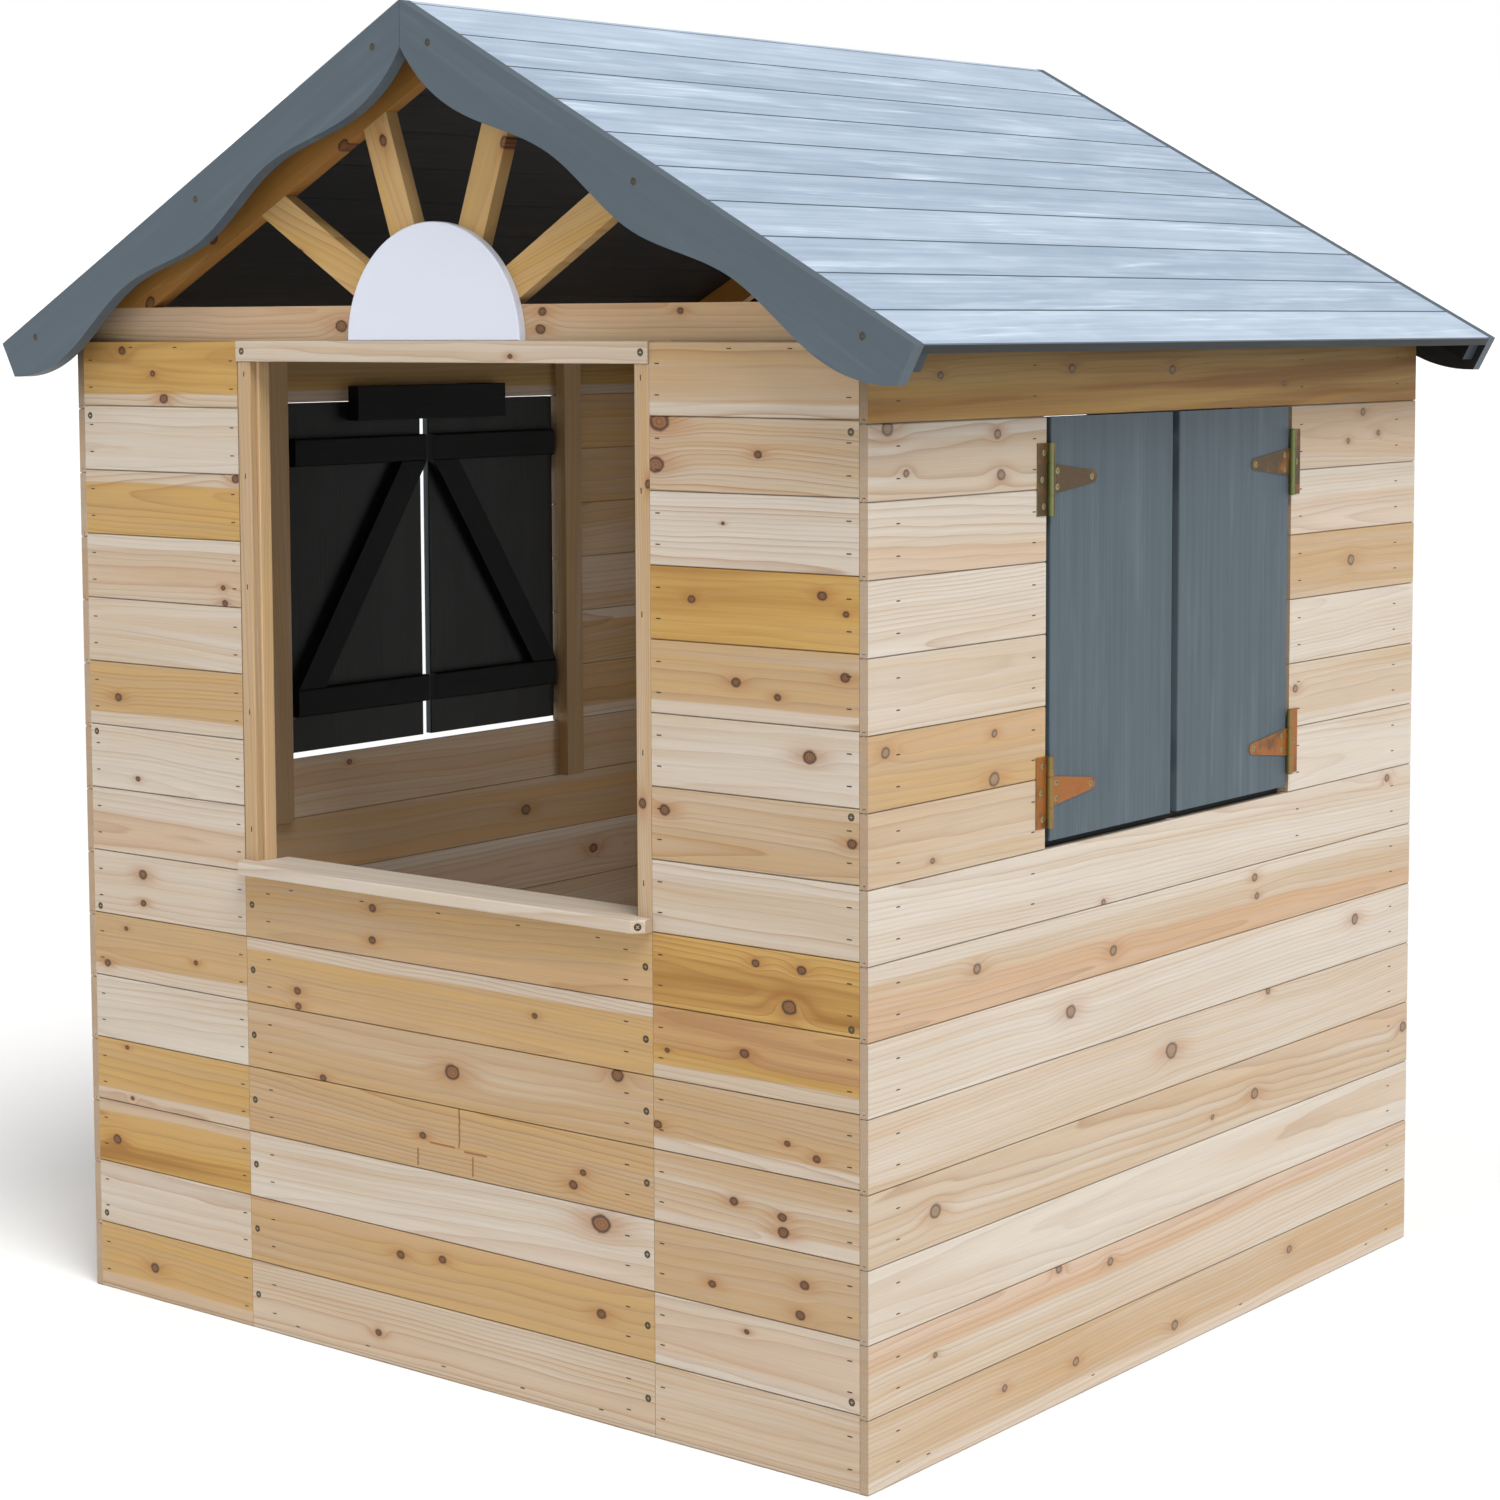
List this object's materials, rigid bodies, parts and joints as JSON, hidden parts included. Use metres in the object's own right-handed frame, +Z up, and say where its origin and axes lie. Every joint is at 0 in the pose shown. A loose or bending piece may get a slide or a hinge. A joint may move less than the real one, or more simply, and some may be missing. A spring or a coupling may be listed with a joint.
{
  "type": "wooden playhouse",
  "caption": "Gabled wooden playhouse with a serving counter hatch, shuttered side windows, an open doorway and a sunburst gable under a wavy-edged roof.",
  "frame": {"origin": "on the ground at the middle of the house", "axes": "+Z up, +X to the right seen from the front, +Y to the back"},
  "size_m": [1.318, 1.2206, 1.4837],
  "materials": {
    "fir": "planed softwood, clear oil",
    "grey_blue_stain": "grey-blue wood stain",
    "roof_stain": "light blue-grey wood stain, slight sheen",
    "shutter_stain": "grey-blue wood stain",
    "white_paint": "white painted board",
    "hinge_brass": "yellow zinc plate",
    "fastener_steel": "weathered bronze-toned steel"
  },
  "bodies": {
    "house": {"front_right_boards": "fir", "front_left_boards": "fir", "front_right_battens": "fir", "front_left_battens": "fir", "counter_boards": "fir", "counter_battens": "fir", "counter_shelf": "fir", "hatch_trims": "fir", "hatch_lintel": "fir", "rear_right_boards": "fir", "rear_left_boards": "fir", "rear_right_battens": "fir", "rear_left_battens": "fir", "doorway_lintel": "fir", "right_wall_boards": "fir", "left_wall_boards": "fir", "right_wall_battens": "fir", "left_wall_battens": "fir", "right_window_stop": "shutter_stain", "left_window_stop": "shutter_stain", "eave_plates": "fir", "front_gable_beam": "fir", "rear_gable_beam": "fir", "front_rafters": "fir", "rear_rafters": "fir", "sun_rays": "fir", "sun_disc": "white_paint", "right_roof_boards": "roof_stain", "left_roof_boards": "roof_stain", "roof_end_battens": "grey_blue_stain", "front_right_barge_board": "grey_blue_stain", "front_left_barge_board": "grey_blue_stain", "rear_right_barge_board": "grey_blue_stain", "rear_left_barge_board": "grey_blue_stain", "barge_screws": "fastener_steel", "panel_screws": "fastener_steel", "counter_screws": "fastener_steel", "lintel_screws": "fastener_steel", "end_panel_staples": "fastener_steel", "counter_staples": "fastener_steel", "side_wall_staples": "fastener_steel", "hinge_plates": "hinge_brass", "hinge_pins": "hinge_brass", "hinge_plate_screws": "fastener_steel"},
    "right_front_shutter": {"right_front_shutter_board": "shutter_stain", "right_front_shutter_braces": "shutter_stain", "right_front_hinge_straps": "hinge_brass", "right_front_strap_screws": "fastener_steel"},
    "right_rear_shutter": {"right_rear_shutter_board": "shutter_stain", "right_rear_shutter_braces": "shutter_stain", "right_rear_hinge_straps": "hinge_brass", "right_rear_strap_screws": "fastener_steel"},
    "left_front_shutter": {"left_front_shutter_board": "shutter_stain", "left_front_shutter_braces": "shutter_stain", "left_front_hinge_straps": "hinge_brass", "left_front_strap_screws": "fastener_steel"},
    "left_rear_shutter": {"left_rear_shutter_board": "shutter_stain", "left_rear_shutter_braces": "shutter_stain", "left_rear_hinge_straps": "hinge_brass", "left_rear_strap_screws": "fastener_steel"}
  },
  "joints": [
    {"name": "right_front_shutter_hinge", "type": "hinge", "parent": "house", "child": "right_front_shutter", "pos_m": [0.5784, -0.254, 0.8275], "axis": [0, 0, -1], "range_deg": [0, 178]},
    {"name": "right_rear_shutter_hinge", "type": "hinge", "parent": "house", "child": "right_rear_shutter", "pos_m": [0.5784, 0.254, 0.8275], "axis": [0, 0, 1], "range_deg": [0, 178]},
    {"name": "left_front_shutter_hinge", "type": "hinge", "parent": "house", "child": "left_front_shutter", "pos_m": [-0.5784, -0.254, 0.8275], "axis": [0, 0, 1], "range_deg": [0, 178]},
    {"name": "left_rear_shutter_hinge", "type": "hinge", "parent": "house", "child": "left_rear_shutter", "pos_m": [-0.5784, 0.254, 0.8275], "axis": [0, 0, -1], "range_deg": [0, 178]}
  ]
}
